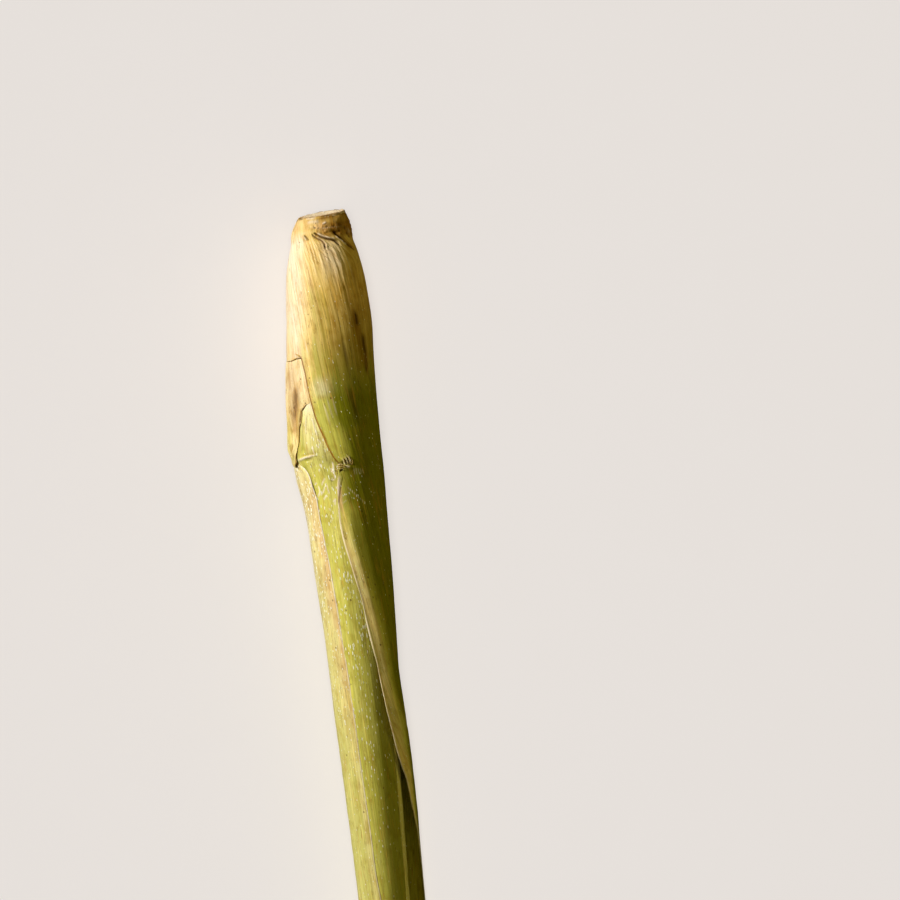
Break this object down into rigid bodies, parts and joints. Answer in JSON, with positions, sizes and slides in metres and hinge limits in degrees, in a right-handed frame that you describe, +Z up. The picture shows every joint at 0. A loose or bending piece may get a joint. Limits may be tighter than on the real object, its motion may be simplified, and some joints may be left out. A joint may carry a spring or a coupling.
{
  "type": "lemongrass stalk",
  "caption": "Cut lemongrass stalk lying on its side: swollen root end with rolled, torn outer sheaths, and a leaf blade parting from the stalk.",
  "frame": {"origin": "centre of the bottom of the bounding box, on the surface that the stalk lies on", "axes": "+Y along the stalk towards its root end, +Z up from the surface, +X towards the side on which the outer leaf's blade parts from the stalk"},
  "size_m": [0.0253, 0.2826, 0.0211],
  "materials": {
    "stem_base": "dry, fibrous, amber brown cut butt",
    "inner_leaves": "smooth waxy yellow-green leaf sheath",
    "open_sheath": "waxy yellow-green leaf sheath with a dry pinkish tan margin",
    "dry_sheath": "papery cream and tan dry leaf sheath",
    "outer_leaf": "straw yellow to olive green leaf, finely ribbed lengthwise"
  },
  "bodies": {
    "root": {"stem_base": "stem_base", "inner_leaves": "inner_leaves", "open_sheath": "open_sheath", "dry_sheath": "dry_sheath", "outer_leaf": "outer_leaf"}
  },
  "joints": []
}
